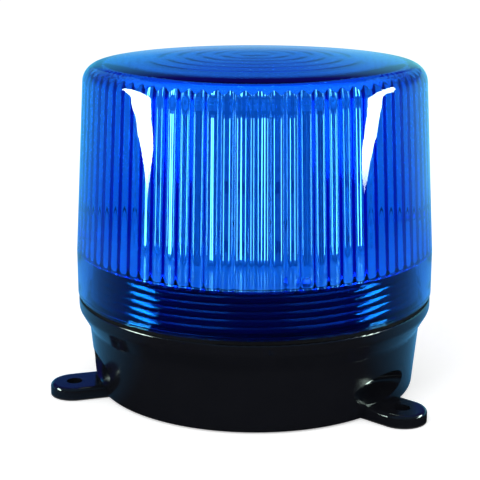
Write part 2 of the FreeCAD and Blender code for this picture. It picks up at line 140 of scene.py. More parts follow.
def blend(tree: bpy.types.NodeTree, factor: Link, one: Link | str, two: Link | str) -> Link:
    """Mix two colours.

    Args:
        tree: node tree of a material.
        factor: share of the second colour.
        one: first colour, as a hex sRGB colour or the node and output that give it.
        two: second colour.

    Returns:
        Node and output of the mix.
    """
    node = add_node(tree, "ShaderNodeMix", {"Factor": factor}, data_type="RGBA")
    for socket, colour in ((MIX_ONE, one), (MIX_TWO, two)):
        if isinstance(colour, str):
            node.inputs[socket].default_value = linear(colour)
        else:
            tree.links.new(colour[0].outputs[colour[1]], node.inputs[socket])
    return node, MIX_RESULT


def empty_material(name: str) -> tuple[bpy.types.Material, bpy.types.NodeTree]:
    """Make a material with an empty node tree.

    Args:
        name: name of the material.

    Returns:
        The material and its tree.
    """
    material = bpy.data.materials.new(name)
    material.use_nodes = True
    material.node_tree.nodes.clear()
    return material, material.node_tree


@dataclass(frozen=True)
class Finish:
    """Surface of one real material: two close colours and two gloss levels that its making mixes.

    The grain is the size of the pattern's clouds, or the length of a radian of its waves, and the relief is
    the height of its bump. A clear one may have a dye that deepens its colour with each millimetre that light
    goes through it.
    """

    name: str
    colour: str
    shade: str
    roughness: float
    roughness_high: float
    grain_mm: float
    relief_mm: float = 0.0
    ior: float = 1.5
    specular: float = 0.5
    metallic: float = 0.0
    transmission: float = 0.0
    glow: float = 0.0
    glow_colour: str = "#FFF6E0"
    dye: str = ""
    dye_per_mm: float = 0.0
    pattern: Pattern = Pattern.FLOW

    def _pattern(self, tree: bpy.types.NodeTree) -> Link:
        """Add the nodes of the pattern.

        Args:
            tree: node tree of the material.

        Returns:
            Node and output that run from 0 to 1 over the surface.
        """
        place: Link = (add_node(tree, "ShaderNodeTexCoord"), "Object")
        scale = 1 / (self.grain_mm * MM)
        bands = {"Scale": scale / WAVE_RATE}
        if self.pattern is Pattern.WEAVE:
            across, along = (
                add_node(tree, "ShaderNodeTexWave", {"Vector": place}, bands, bands_direction=axis)
                for axis in ("X", "Z"))
            return add_node(tree, "ShaderNodeMath", {0: (across, "Fac"), 1: (along, "Fac")},
                            operation="MULTIPLY"), "Value"
        if self.pattern is Pattern.TURNS:
            return add_node(tree, "ShaderNodeTexWave", {"Vector": place}, bands, bands_direction="Z"), "Fac"
        if self.pattern is Pattern.BRUSHED:
            stretched = add_node(tree, "ShaderNodeMapping", {"Vector": place}, {"Scale": BRUSH_STRETCH})
            place = (stretched, "Vector")
        return add_node(tree, "ShaderNodeTexNoise", {"Vector": place}, {
            "Scale": scale, "Detail": CLOUD_DETAIL, "Roughness": CLOUD_ROUGHNESS}), "Fac"

    def material(self) -> bpy.types.Material:
        """Build the material.

        Returns:
            A material with a principled shader fed by the pattern.
        """
        material, tree = empty_material(self.name)
        fac = self._pattern(tree)
        colour = blend(tree, fac, self.colour, self.shade)
        rough = add_node(tree, "ShaderNodeMapRange", {"Value": fac},
                         {"To Min": self.roughness, "To Max": self.roughness_high})
        links: dict[str | int, Link] = {"Base Color": colour, "Roughness": (rough, "Result")}
        if self.relief_mm:
            bump = add_node(tree, "ShaderNodeBump", {"Height": fac},
                            {"Strength": 1.0, "Distance": self.relief_mm * MM})
            links["Normal"] = (bump, "Normal")
        shader = add_node(tree, "ShaderNodeBsdfPrincipled", links, {
            "IOR": self.ior, "Specular IOR Level": self.specular, "Metallic": self.metallic,
            "Transmission Weight": self.transmission, "Emission Strength": self.glow,
            "Emission Color": linear(self.glow_colour),
        })
        outputs: dict[str | int, Link] = {"Surface": (shader, "BSDF")}
        if self.dye:
            depth = add_node(tree, "ShaderNodeVolumeAbsorption", values={
                "Color": linear(self.dye), "Density": self.dye_per_mm / MM})
            outputs["Volume"] = (depth, "Volume")
        add_node(tree, "ShaderNodeOutputMaterial", outputs)
        return material


# Polycarbonate, injection moulded in a polished tool: clear, hardly any haze, dyed a deep blue that is darker
# along its edges.
LENS = Finish("lens_polycarbonate", "#8AD1FD", "#90D5FE", 0.0, 0.012, 14.0, ior=1.585, transmission=1.0,
              dye="#00D1FE", dye_per_mm=0.406)
# High-gloss black ABS from a polished tool: sharp dim reflections, faint flow clouds.
BASE = Finish("base_abs", "#101115", "#14151A", 0.10, 0.17, 9.0, 0.002, ior=1.52)
# Moulded EPDM rubber: deep black, matt, with a fine bloom.
RUBBER = Finish("seal_epdm", "#0A0A0C", "#121315", 0.62, 0.8, 0.8, 0.01, specular=0.05)
# Glass-fibre laminate under printed white resist: smooth, with the weave just showing.
BOARD_WHITE = Finish("board_white_resist", "#E6EAEC", "#F3F5F4", 0.22, 0.34, 0.6, 0.004,
                     pattern=Pattern.WEAVE)
# The same laminate and white resist painted darker, as painted shade, on the upright boards inside the lens.
TOWER_BOARD_PAINTED_SHADE = replace(BOARD_WHITE, name="board_resist_painted_shade", colour="#C0C7CE", shade="#C9D0D5")
# Glass-fibre laminate under green resist: smooth, with the weave just showing.
BOARD_GREEN = Finish("board_green_resist", "#0C5B2E", "#137A40", 0.25, 0.4, 0.6, 0.004,
                     pattern=Pattern.WEAVE)
# White polyphthalamide of moulded emitter packages: satin and bright.
LED_BODY = Finish("led_ppa", "#F2EFE2", "#FAF8F0", 0.3, 0.42, 0.5, 0.003)
# Silicone loaded with phosphor, poured into the package: yellow and soft, with a painted glow that stands in
# for the bright streaks of reflected light inside the lens.
PHOSPHOR_PAINTED_GLOW = Finish("led_phosphor", "#F2D778", "#F7E4A0", 0.2, 0.3, 0.3, 0.003, ior=1.41, glow=15.0)
# The same filling with a weaker painted glow.
PHOSPHOR_DIM_PAINTED_GLOW = replace(PHOSPHOR_PAINTED_GLOW, name="led_phosphor_dim_painted_glow", glow=8.0)
# The same filling while its emitter is off.
PHOSPHOR_OFF = replace(PHOSPHOR_PAINTED_GLOW, name="led_phosphor_off", glow=0.0)
# Epoxy moulding compound of chips and resistors: dark grey, matt, grainy.
EPOXY = Finish("component_epoxy", "#141517", "#1F2023", 0.5, 0.65, 0.25, 0.006)
# Glazed film resistors: slate blue, satin.
GLAZE = Finish("resistor_glaze", "#7E8DA6", "#8A98B0", 0.3, 0.42, 0.4, 0.003)
# Zinc plate on cold-headed steel: bright grey with turning marks.
STEEL = Finish("zinc_steel", "#AEB4BC", "#C6CBD1", 0.22, 0.36, 0.3, 0.004, metallic=1.0,
               pattern=Pattern.BRUSHED)
# Heat-shrunk polyester sleeve on capacitor cans: dark blue, glossy.
SLEEVE = Finish("capacitor_sleeve", "#0E1730", "#14203F", 0.2, 0.3, 4.0, 0.003)
# Pressed and fired ferrite: charcoal, matt, open grain.
FERRITE = Finish("ferrite", "#2C2D30", "#3A3B3E", 0.55, 0.75, 0.4, 0.01)
# Enamelled copper wire wound turn on turn: warm, glossy, ribbed.
COPPER = Finish("copper_winding", "#A8542A", "#D08048", 0.25, 0.35, 0.5, 0.12, metallic=1.0,
                pattern=Pattern.TURNS)
# Green polyamide of terminal blocks: satin moulding.
POLYAMIDE = Finish("terminal_polyamide", "#167A3C", "#1D8E49", 0.35, 0.48, 1.2, 0.004)
# Soft PVC of hook-up wire: even colour, satin.
PVC_RED = Finish("wire_pvc_red", "#A3131A", "#B81D22", 0.3, 0.42, 1.0, 0.004)
PVC_BLACK = Finish("wire_pvc_black", "#111214", "#191A1D", 0.3, 0.42, 1.0, 0.004)


@dataclass(frozen=True)
class Thread:
    """Right-hand thread of one start, whole or broken into short lugs.

    The height is how far the ridge stands out from the root, negative where it points at the axis. The
    section gives places above the ridge's middle and the share of the height there, from low to high. The
    lugs are the middles of the ridges that are left, in turns from the start.
    """

    root_r: float
    height: float
    lead: float
    first_z: float
    turns: int
    section: Pairs
    lugs: tuple[float, ...] = ()
    lug_half_turn: float = 0.035
    runout_turns: float = 0.02

    def rise(self, turn: float) -> float:
        """Share of the full ridge height, which runs out at both ends.

        Args:
            turn: turns from the start of the ridge.

        Returns:
            A share from 0 to 1.
        """
        room = min(turn, self.turns - turn)
        if self.lugs:
            room = max(self.lug_half_turn - abs(turn - lug) for lug in self.lugs)
        return max(0.0, min(1.0, room / self.runout_turns))


class Turning:
    """Closed mesh made ring by ring about the Z axis."""

    def __init__(self) -> None:
        """Start without points or faces."""
        self.points: list[tuple[float, float, float]] = []
        self.faces: list[list[int]] = []

    def point(self, radius: float, turn: float, z: float) -> int:
        """Add a point.

        Args:
            radius: distance from the axis.
            turn: angle in radians.
            z: height.

        Returns:
            Number of the point.
        """
        self.points.append((radius * math.cos(turn), radius * math.sin(turn), z))
        return len(self.points) - 1

    def ring(self, columns: int, place: Callable[[float], tuple[float, float]]) -> list[int]:
        """Add a closed ring of points.

        Args:
            columns: number of points.
            place: gives radius and height at an angle.

        Returns:
            Numbers of the points.
        """
        ring = []
        for k in range(columns):
            turn = math.tau * k / columns
            radius, z = place(turn)
            ring.append(self.point(radius, turn, z))
        return ring

    def skin(self, one: Sequence[int], two: Sequence[int]) -> None:
        """Join two rings, of which one may have a whole multiple of the other's points.

        Args:
            one: ring that the skin starts from.
            two: ring that it reaches, one that lies further along the outline.
        """
        fine, coarse = (one, two) if len(one) >= len(two) else (two, one)
        step = len(fine) // len(coarse)
        for k in range(len(coarse)):
            run = [fine[(k * step + i) % len(fine)] for i in range(step + 1)]
            pair = [coarse[(k + 1) % len(coarse)], coarse[k]]
            face = run + pair
            self.faces.append(face if fine is one else face[::-1])

    def cap(self, ring: Sequence[int], z: float, last: bool) -> None:
        """Close a ring with a fan about a point on the axis.

        Args:
            ring: the ring.
            z: height of the point.
            last: whether the outline ends here, and doesn't start.
        """
        tip = self.point(0.0, 0.0, z)
        for a, b in zip(ring, list(ring[1:]) + [ring[0]]):
            self.faces.append([a, b, tip] if last else [b, a, tip])

    def sweep(self, outline: Sequence[tuple[float, float]], columns: int,
              start: list[int] | None = None) -> list[int]:
        """Turn an outline round the axis.

        Args:
            outline: radius and height of each ring.
            columns: points in each ring.
            start: ring to go on from.

        Returns:
            The last ring.
        """
        here = start
        for radius, z in outline:
            ring = self.ring(columns, lambda _turn, r=radius, h=z: (r, h))
            if here is not None:
                self.skin(here, ring)
            here = ring
        assert here is not None
        return here

    def thread(self, low: Sequence[int], high: Sequence[int], thread: Thread) -> None:
        """Fill the band between two level rings with a threaded wall.

        The rows of the wall climb with the ridge, so each row ends where the row one turn above starts.

        Args:
            low: ring below the thread.
            high: ring above it, with as many points.
            thread: sizes of the thread.
        """
        columns = len(low)
        per_turn = len(thread.section)
        rows = per_turn * thread.turns

        def add(column: int, row: int) -> int:
            """Add a point of the wall.

            Args:
                column: place round the axis.
                row: place up the ridges, section after section.

            Returns:
                Number of the point.
            """
            turn = row // per_turn + column / columns
            offset, share = thread.section[row % per_turn]
            radius = thread.root_r + thread.height * share * thread.rise(turn)
            z = thread.first_z + thread.lead * turn + offset
            return self.point(radius, math.tau * column / columns, z)

        grid = [[add(column, row) for row in range(rows + (per_turn if column == 0 else 0))]
                for column in range(columns)]

        def at(column: int, row: int) -> int:
            """Number of the point at a column and row, also one column past the seam."""
            return grid[column][row] if column < columns else grid[0][row + per_turn]

        for j in range(columns):
            nxt = (j + 1) % columns
            for r in range(rows - 1):
                self.faces.append([at(j, r), at(j + 1, r), at(j + 1, r + 1), at(j, r + 1)])
            seam = [grid[0][r] for r in range(per_turn)] if nxt == 0 else []
            self.faces.append([low[j], low[nxt]] + seam + [at(j + 1, 0), at(j, 0)])
            seam = [grid[0][rows + r] for r in reversed(range(per_turn))] if j == 0 else []
            self.faces.append([at(j, rows - 1), at(j + 1, rows - 1), high[nxt], high[j]] + seam)

    def build(self, name: str, finish: Finish) -> bpy.types.Object:
        """Make the object, smooth apart from its sharp edges.

        Args:
            name: name of the piece.
            finish: its surface.

        Returns:
            The new object.
        """
        mesh = bpy.data.meshes.new(name)
        mesh.from_pydata([tuple(c * MM for c in p) for p in self.points], [], self.faces)
        return place_mesh(name, mesh, finish)


def place_mesh(name: str, mesh: bpy.types.Mesh, finish: Finish,
               sharp_deg: float = SHARP_DEG) -> bpy.types.Object:
    """Put a mesh into the scene with its surface, its faces turned outwards.

    Args:
        name: name of the piece.
        mesh: its mesh.
        finish: its surface.
        sharp_deg: least angle between two faces at a sharp edge.

    Returns:
        The new object.
    """
    work = bmesh.new()
    work.from_mesh(mesh)
    bmesh.ops.recalc_face_normals(work, faces=work.faces)
    work.to_mesh(mesh)
    work.free()
    mesh.shade_smooth()
    mesh.set_sharp_from_angle(angle=math.radians(sharp_deg))
    mesh.materials.append(finish.material())
    piece = bpy.data.objects.new(name, mesh)
    bpy.context.collection.objects.link(piece)
    return piece


def arc(centre: tuple[float, float], radius: float, start_deg: float, end_deg: float,
        steps: int) -> list[tuple[float, float]]:
    """Points on an arc in the plane of radius and height.

    Args:
        centre: radius and height of its middle.
        radius: radius of the arc.
        start_deg: angle of the first point, from the outward direction towards +Z.
        end_deg: angle of the last point.
        steps: number of runs.

    Returns:
        The points, both ends included.
    """
    turns = [math.radians(start_deg + (end_deg - start_deg) * k / steps) for k in range(steps + 1)]
    return [(centre[0] + radius * math.cos(t), centre[1] + radius * math.sin(t)) for t in turns]


@dataclass
class Lens:
    """Clear dome with a fluted inner wall, a ringed roof and a threaded skirt."""

    taper_z: float = 38.7
    draft_deg: float = 3.45
    crown: float = 2.6
    shoulder_r: float = 5.0
    rim_round: float = 0.4
    wall: float = 3.0
    top_wall: float = 2.2
    inner_round: float = 4.0
    level_gap: float = 0.3
    level_inset: float = 10.4
    level_fall: float = 0.068
    bore_r: float = 47.2
    bore_top: float = 39.0
    flute_foot_z: float = 38.0
    flute_count: int = 80
    flute_depth: float = 0.7
    ring_count: int = 6
    ring_inset: float = 6.5
    ring_depth: float = 0.025
    groove_r: float = 48.5
    groove_half: float = 0.55
    groove_depth: float = 0.75
    columns: int = 160
    flute_steps: int = 8
    ring_steps: int = 8
    round_steps: int = 6
    dome_steps: int = 12
    shoulder_steps: int = 12
    wall_steps: int = 4
    rim_steps: int = 5
    settle_rounds: int = 20
    lug_height: float = 1.3
    thread_lead: float = 2.0
    thread_first_z: float = 27.9
    lug_section: Pairs = ((-0.62, 0.0), (-0.18, 1.0), (0.18, 1.0), (0.62, 0.0))
    thread_turns: int = 2
    lugs: tuple[float, ...] = (0.533, 1.033)

    def __post_init__(self) -> None:
        """Take the outer sizes from the CAD node and work out what follows from them."""
        low, high = box_mm("lens")
        self.rim_z = low.z
        self.top_z = high.z
        self.skirt_r = high.x
        self.draft = math.tan(math.radians(self.draft_deg))
        corner_z = self.top_z - self.crown
        corner_r = self.skirt_r - self.draft * (corner_z - self.taper_z)
        self.dome_r = (corner_r ** 2 + self.crown ** 2) / (2 * self.crown)
        self.level_r = corner_r - self.level_inset
        self.ring_pitch = (self.level_r - self.ring_inset) / self.ring_count

    def roof(self, radius: float) -> float:
        """Height of the domed top.

        Args:
            radius: distance from the axis.

        Returns:
            The height.
        """
        return self.top_z - self.dome_r + math.sqrt(self.dome_r ** 2 - radius ** 2)

    def inner_roof(self, radius: float) -> float:
        """Height of the roof's underside without ripples: domed in the middle, almost level near the wall.

        Args:
            radius: distance from the axis.

        Returns:
            The height.
        """
        domed = min(radius, self.level_r)
        return self.roof(domed) - self.top_wall - self.level_fall * (radius - domed)

    def flute_r(self, turn: float, z: float) -> float:
        """Radius of the fluted wall.

        Args:
            turn: angle in radians.
            z: height.

        Returns:
            The radius: a wave round the wall, whose crests stand in from it.
        """
        valley = self.skirt_r - self.wall - self.draft * (z - self.flute_foot_z)
        return valley - self.flute_depth * (1 + math.cos(self.flute_count * turn)) / 2

    def _inset(self, foot_r: float, foot_z: float, z: float, round_r: float) -> float:
        """Where the middle of an arc lies that touches a wall with the lens's draft.

        Args:
            foot_r: radius of a point of the wall.
            foot_z: height of that point.
            z: height of the arc's middle.
            round_r: radius of the arc.

        Returns:
            The middle's distance from the axis.
        """
        return foot_r - self.draft * (z - foot_z) - round_r / math.cos(math.radians(self.draft_deg))

    def _outside(self) -> list[tuple[float, float]]:
        """Outline of the outside.

        Returns:
            Radius and height from near the apex down to the rim.
        """
        ball_z = self.top_z - self.dome_r
        centre_z = self.top_z - self.shoulder_r
        for _ in range(self.settle_rounds):
            centre_r = self._inset(self.skirt_r, self.taper_z, centre_z, self.shoulder_r)
            centre_z = ball_z + math.sqrt((self.dome_r - self.shoulder_r) ** 2 - centre_r ** 2)
        lift = math.degrees(math.atan2(centre_z - ball_z, centre_r))
        turn = arc((centre_r, centre_z), self.shoulder_r, lift, self.draft_deg, self.shoulder_steps)
        dome = [turn[0][0] * (k + 1) / self.dome_steps for k in range(self.dome_steps - 1)]
        outline = [(r, self.roof(r)) for r in dome] + turn
        end_r, end_z = turn[-1]
        for k in range(1, self.wall_steps):
            share = k / self.wall_steps
            outline.append((end_r + (self.skirt_r - end_r) * share, end_z + (self.taper_z - end_z) * share))
        outline += [(self.skirt_r, self.taper_z)]
        rim = (self.skirt_r - self.rim_round, self.rim_z + self.rim_round)
        outline += arc(rim, self.rim_round, 0.0, -90.0, self.rim_steps)
        return outline

    def _rim(self) -> list[tuple[float, float]]:
        """Outline of the rim's underside with the groove for the seal's key.

        Returns:
            Radius and height from outside to the bore.
        """
        out_r, in_r = self.groove_r + self.groove_half, self.groove_r - self.groove_half
        top = self.rim_z + self.groove_depth
        return [(out_r, self.rim_z), (out_r, top), (in_r, top), (in_r, self.rim_z), (self.bore_r, self.rim_z)]

    def _ripples(self) -> list[tuple[float, float]]:
        """Outline of the round ripples under the roof.

        Returns:
            Radius and height from the outermost ring to near the axis.
        """
        outline = []
        for k in range(self.ring_count, 0, -1):
            middle, half = (k - 0.5) * self.ring_pitch, self.ring_pitch / 2
            if k == 1:
                middle, half = 0.0, self.ring_pitch
            for step in range(self.ring_steps):
                radius = k * self.ring_pitch - self.ring_pitch * step / self.ring_steps
                dip = self.ring_depth * (1 - ((radius - middle) / half) ** 2)
                outline.append((radius, self.inner_roof(radius) - dip))
        return outline

    def _round_centre(self) -> tuple[float, float]:
        """Middle of the round between the inner wall and the roof.

        Returns:
            Its radius and height.
        """
        foot_r = self.skirt_r - self.wall + self.flute_depth
        round_z = self.inner_roof(self.level_r) - self.inner_round
        for _ in range(self.settle_rounds):
            round_r = self._inset(foot_r, self.flute_foot_z, round_z, self.inner_round)
            round_z = self.inner_roof(round_r) - self.inner_round
        return round_r, round_z

    def _flute_end(self, turn: float, round_r: float, round_z: float) -> float:
        """Where the fluted wall runs out on the inner round.

        Args:
            turn: angle about the axis in radians.
            round_r: radius of the round's middle.
            round_z: height of the round's middle.

        Returns:
            Angle on the round in radians, up from level.
        """
        angle = math.pi / 4
        for _ in range(self.settle_rounds):
            wall_r = self.flute_r(turn, round_z + self.inner_round * math.sin(angle))
            angle = math.acos((wall_r - round_r) / self.inner_round)
        return angle

    def build(self) -> bpy.types.Object:
        """Make the lens in place of its CAD node.

        Returns:
            The new object, on the lens body.
        """
        turning = Turning()
        outside = self._outside()
        start = turning.sweep(outside[:1], self.columns)
        turning.cap(start, self.top_z, last=False)
        here = turning.sweep(outside[1:] + self._rim(), self.columns, start)
        top = turning.sweep([(self.bore_r, self.bore_top)], self.columns)
        turning.thread(here, top, Thread(self.bore_r, -self.lug_height, self.thread_lead, self.thread_first_z,
                                         self.thread_turns, self.lug_section, self.lugs))
        fine = self.flute_count * self.flute_steps
        here = turning.ring(fine, lambda turn: (self.flute_r(turn, self.bore_top), self.bore_top))
        turning.skin(top, here)

        round_r, round_z = self._round_centre()
        ends = [self._flute_end(math.tau * k / fine, round_r, round_z) for k in range(self.flute_steps)]
        for step in range(self.round_steps + 1):
            angles = [end + (math.pi / 2 - end) * step / self.round_steps for end in ends]
            ring = [turning.point(round_r + self.inner_round * math.cos(angles[k % self.flute_steps]),
                                  math.tau * k / fine,
                                  round_z + self.inner_round * math.sin(angles[k % self.flute_steps]))
                    for k in range(fine)]
            turning.skin(here, ring)
            here = ring
        plain = [round_r - self.level_gap, self.level_r, self.level_r - self.ring_inset / 2]
        here = turning.sweep([(r, self.inner_roof(r)) for r in plain] + self._ripples(), self.columns, here)
        turning.cap(here, self.inner_roof(0.0) - self.ring_depth, last=True)
        piece = turning.build("lens_dome", LENS)
        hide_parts("lens")
        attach(piece, "lens")
        return piece


@dataclass
class NeckThread:
    """Moulded thread on the neck of the base: low ridges with a long rounded upper side.

    The lugs of the lens run between them.
    """

    neck_r: float = 45.7
    sink: float = 0.5
    proud: float = 0.02
    height: float = 0.45
    section: Pairs = ((-0.85, 0.0), (-0.6, 1.0), (-0.2, 0.93), (0.2, 0.72), (0.55, 0.42), (0.85, 0.0))
    low_z: float = 25.9
    high_z: float = 37.79
    lead: float = 2.0
    first_z: float = 26.9
    turns: int = 5
    runout_turns: float = 0.12
    columns: int = 160

    def build(self) -> bpy.types.Object:
        """Make the thread as a thin sleeve whose root lies on the neck.

        Returns:
            The new object, on the base body.
        """
        turning = Turning()
        inner_r, root_r = self.neck_r - self.sink, self.neck_r + self.proud
        outline = [(root_r, self.high_z), (inner_r, self.high_z), (inner_r, self.low_z), (root_r, self.low_z)]
        top = turning.sweep(outline[:1], self.columns)
        low = turning.sweep(outline[1:], self.columns, top)
        turning.thread(low, top, Thread(root_r, self.height, self.lead, self.first_z, self.turns,
                                        self.section, runout_turns=self.runout_turns))
        piece = turning.build("neck_thread", BASE)
        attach(piece, "base")
        return piece


@dataclass
class Screws:
    """Set of machine screws with a drive recess in each head.

    The dome, tip and floor shares say how much of the head's height is rounded, and how narrow the tip of
    the shank and the floor of the recess are. The spins turn the recesses, in radians, each a step further.
    """

    name: str
    node: str
    centres: Sequence[tuple[float, float]]
    seat_z: float
    head_r: float = 2.6
    head_height: float = 1.8
    shank_r: float = 1.2
    length: float = 8.0
    recess: Recess = Recess.CROSS
    recess_half: float = 0.35
    recess_reach: float = 1.5
    recess_depth: float = 0.9
    tip_length: float = 0.5
    dome_share: float = 0.5
    tip_share: float = 0.7
    floor_share: float = 0.8
    first_spin: float = 0.6
    spin_step: float = 0.9
    columns: int = 32

    def _recess_outline(self) -> list[tuple[float, float]]:
        """Outline of the drive recess.

        Returns:
            Corners round the middle of the head.
        """
        half, reach = self.recess_half, self.recess_reach
        if self.recess is Recess.SLOT:
            return [(reach, -half), (reach, half), (-reach, half), (-reach, -half)]
        arm = [Vector((reach, -half)), Vector((reach, half)), Vector((half, half))]
        corners = []
        for k in range(self.recess.value):
            turn = Matrix.Rotation(math.tau * k / self.recess.value, 2)
            corners += [tuple(turn @ c) for c in arm]
        return corners

    def _head_z(self, x: float, y: float) -> float:
        """Height of the rounded head above its seat.

        Args:
            x: place across the head.
            y: place along the head.

        Returns:
            The height.
        """
        return self.head_height - self.dome_share * self.head_height * ((x * x + y * y) / self.head_r ** 2)

    def _one(self, work: bmesh.types.BMesh, centre: tuple[float, float], spin: float) -> None:
        """Add one screw.

        Args:
            work: mesh that takes it.
            centre: place of its axis.
            spin: turn of its recess in radians.
        """
        place = Matrix.Translation((centre[0], centre[1], self.seat_z)) @ Matrix.Rotation(spin, 4, "Z")

        def loop(points: Sequence[tuple[float, float, float]]) -> list[bmesh.types.BMVert]:
            """Add points given from the middle of the seat."""
            return [work.verts.new((place @ Vector(p)) * MM) for p in points]

        def bridge(one: list[bmesh.types.BMVert], two: list[bmesh.types.BMVert]) -> None:
            """Join two loops with as many points."""
            for k in range(len(one)):
                work.faces.new([one[k - 1], one[k], two[k], two[k - 1]])

        circle = [(math.cos(math.tau * k / self.columns), math.sin(math.tau * k / self.columns))
                  for k in range(self.columns)]
        tip_z = -self.length
        outline = [(self.shank_r * self.tip_share, tip_z), (self.shank_r, tip_z + self.tip_length),
                   (self.shank_r, 0.0), (self.head_r, 0.0), (self.head_r, self._head_z(self.head_r, 0.0))]
        loops = [loop([(r * c, r * s, z) for c, s in circle]) for r, z in outline]
        for one, two in zip(loops, loops[1:]):
            bridge(one, two)
        work.faces.new(loops[0])
        corners = self._recess_outline()
        mouth = loop([(x, y, self._head_z(x, y)) for x, y in corners])
        floor_z = self.head_height - self.recess_depth
        floor = loop([(x * self.floor_share, y * self.floor_share, floor_z) for x, y in corners])
        bridge(mouth, floor)
        work.faces.new(floor)
        rims = [work.edges.get((ring[k - 1], ring[k]))
                for ring in (loops[-1], mouth) for k in range(len(ring))]
        bmesh.ops.triangle_fill(work, edges=rims, use_beauty=True)

    def build(self) -> bpy.types.Object:
        """Make the screws in place of their CAD node.

        Returns:
            The new object, on the base body.
        """
        work = bmesh.new()
        for k, centre in enumerate(self.centres):
            self._one(work, centre, self.first_spin + self.spin_step * k)
        mesh = bpy.data.meshes.new(self.name)
        work.to_mesh(mesh)
        work.free()
        piece = place_mesh(self.name, mesh, STEEL)
        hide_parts(self.node)
        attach(piece, "base")
        return piece


@dataclass
class LightTower:
    """Phosphor in the windows of the tower's light strips and of the cap's emitters.

    The strips carry a painted glow for the bright streaks: those of every other board glow less, and the
    cap's emitters don't glow. The glow casts no light of its own on matt surfaces.
    """

    faces: int = 6
    first_angle: float = -77.0
    outer_flat: float = 19.6
    strip_offset: float = 4.8
    strip_width: float = 2.4
    cap_circle_r: float = 11.0
    led_length: float = 5.7
    led_width: float = 3.0
    led_height: float = 0.9
    border: float = 0.72
    window_depth: float = 0.3
    below_top: float = 0.08
    edge_round: float = 0.06
    edge_segments: int = 2
    edge_profile: float = 0.5
    sharp_deg: float = 40.0

    def _fill(self, name: str, places: Sequence[Matrix], size: tuple[float, float],
              finish: Finish) -> bpy.types.Object:
        """Fill the windows of emitters of one size.

        Args:
            name: name of the piece.
            places: seats of the emitters.
            size: size of an emitter across and along.
            finish: surface of the filling.

        Returns:
            The new object, on the base body.
        """
        work = bmesh.new()
        low, high = self.led_height - self.window_depth, self.led_height - self.below_top
        block = Matrix.Diagonal((size[0] - 2 * self.border, size[1] - 2 * self.border, high - low, 1.0))
        for place in places:
            seat = place @ Matrix.Translation((0, 0, (low + high) / 2)) @ block
            made = bmesh.ops.create_cube(work, size=1.0, matrix=Matrix.Scale(MM, 4) @ seat)
            edges = dict.fromkeys(edge for vert in made["verts"] for edge in vert.link_edges)
            bmesh.ops.bevel(work, geom=list(edges), offset=self.edge_round * MM, segments=self.edge_segments,
                            affect="EDGES", profile=self.edge_profile)
        mesh = bpy.data.meshes.new(name)
        work.to_mesh(mesh)
        work.free()
        piece = place_mesh(name, mesh, finish, self.sharp_deg)
        piece.visible_diffuse = False
        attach(piece, "base")
        return piece

    def build(self) -> list[bpy.types.Object]:
        """Make the phosphor fillings.

        Returns:
            The new objects.
        """
        strip_low, strip_high = box_mm("tower_leds")
        middle_z = (strip_low.z + strip_high.z) / 2
        cap_z = box_mm("cap_leds")[0].z
        turns = [math.radians(self.first_angle + 360.0 * k / self.faces) for k in range(self.faces)]
        spins = [Matrix.Rotation(turn, 4, "Z") for turn in turns]
        upright = Matrix.Rotation(math.pi / 2, 4, "X") @ Matrix.Rotation(math.pi / 2, 4, "Y")
        sides = [Matrix.Translation((self.outer_flat, across, middle_z)) @ upright
                 for across in (-self.strip_offset, self.strip_offset)]
        ring = Matrix.Translation((self.cap_circle_r, 0, cap_z))
        # Strips of every other board get the weaker painted glow.
        bright, dim_glow = ([spin @ side for spin in spins[first::2] for side in sides] for first in (1, 0))
        caps = [Matrix.Translation((0, 0, cap_z))] + [spin @ ring for spin in spins]
        strip = (self.strip_width, strip_high.z - strip_low.z)
        return [self._fill("strip_phosphor", bright, strip, PHOSPHOR_PAINTED_GLOW),
                self._fill("strip_phosphor_dim_painted_glow", dim_glow, strip, PHOSPHOR_DIM_PAINTED_GLOW),
                self._fill("cap_phosphor", caps, (self.led_length, self.led_width), PHOSPHOR_OFF)]


@dataclass
class Carried:
    """CAD nodes that keep their solids and get a finish."""

    finishes: dict[str, Finish]

    def dress(self) -> None:
        """Give each node its material."""
        made: dict[str, bpy.types.Material] = {}
        for name, finish in self.finishes.items():
            if finish.name not in made:
                made[finish.name] = finish.material()
            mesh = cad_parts[name].data
            mesh.materials.clear()
            mesh.materials.append(made[finish.name])


def heading(azimuth: float) -> Vector:
    """Level direction from the axis.

    Args:
        azimuth: degrees to the right of the camera, seen from the camera.

    Returns:
        A unit vector.
    """
    turn = math.radians(CAMERA_AZIMUTH + azimuth - 90.0)
    return Vector((math.cos(turn), math.sin(turn), 0.0))


def sheet(name: str, corners: Sequence[Vector]) -> bpy.types.Mesh:
    """Make a mesh of one face.

    Args:
        name: name of the mesh.
        corners: corners of the face in millimetres.

    Returns:
        The mesh.
    """
    mesh = bpy.data.meshes.new(name)
    mesh.from_pydata([tuple(corner * MM) for corner in corners], [], [list(range(len(corners)))])
    return mesh


def hang(name: str, mesh: bpy.types.Mesh, material: bpy.types.Material) -> bpy.types.Object:
    """Hang a surface round the object that shows only in its gloss and through its clear plastic.

    Args:
        name: name of the surface.
        mesh: its mesh.
        material: what it looks like.

    Returns:
        The object that carries it.
    """
    mesh.materials.append(material)
    hung = bpy.data.objects.new(name, mesh)
    hung.visible_camera = False
    hung.visible_diffuse = False
    hung.visible_shadow = False
    bpy.context.collection.objects.link(hung)
    return hung


@dataclass(frozen=True)
class Lamp:
    """Soft square lamp in front of the object, which its gloss doesn't show."""

    name: str
    azimuth: float
    height: float
    power: float
    size: float = 700.0
    distance: float = 900.0
    aim_z: float = 45.0

    def build(self) -> None:
        """Hang the lamp and aim it at the object."""
        data = bpy.data.lights.new(self.name, "AREA")
        data.energy = self.power
        data.size = self.size * MM
        lamp = bpy.data.objects.new(self.name, data)
        lamp.location = (heading(self.azimuth) * self.distance + Vector((0, 0, self.height))) * MM
        aim = Vector((0, 0, self.aim_z)) * MM - lamp.location
        lamp.rotation_euler = aim.to_track_quat("-Z", "Y").to_euler()
        lamp.visible_glossy = False
        bpy.context.collection.objects.link(lamp)


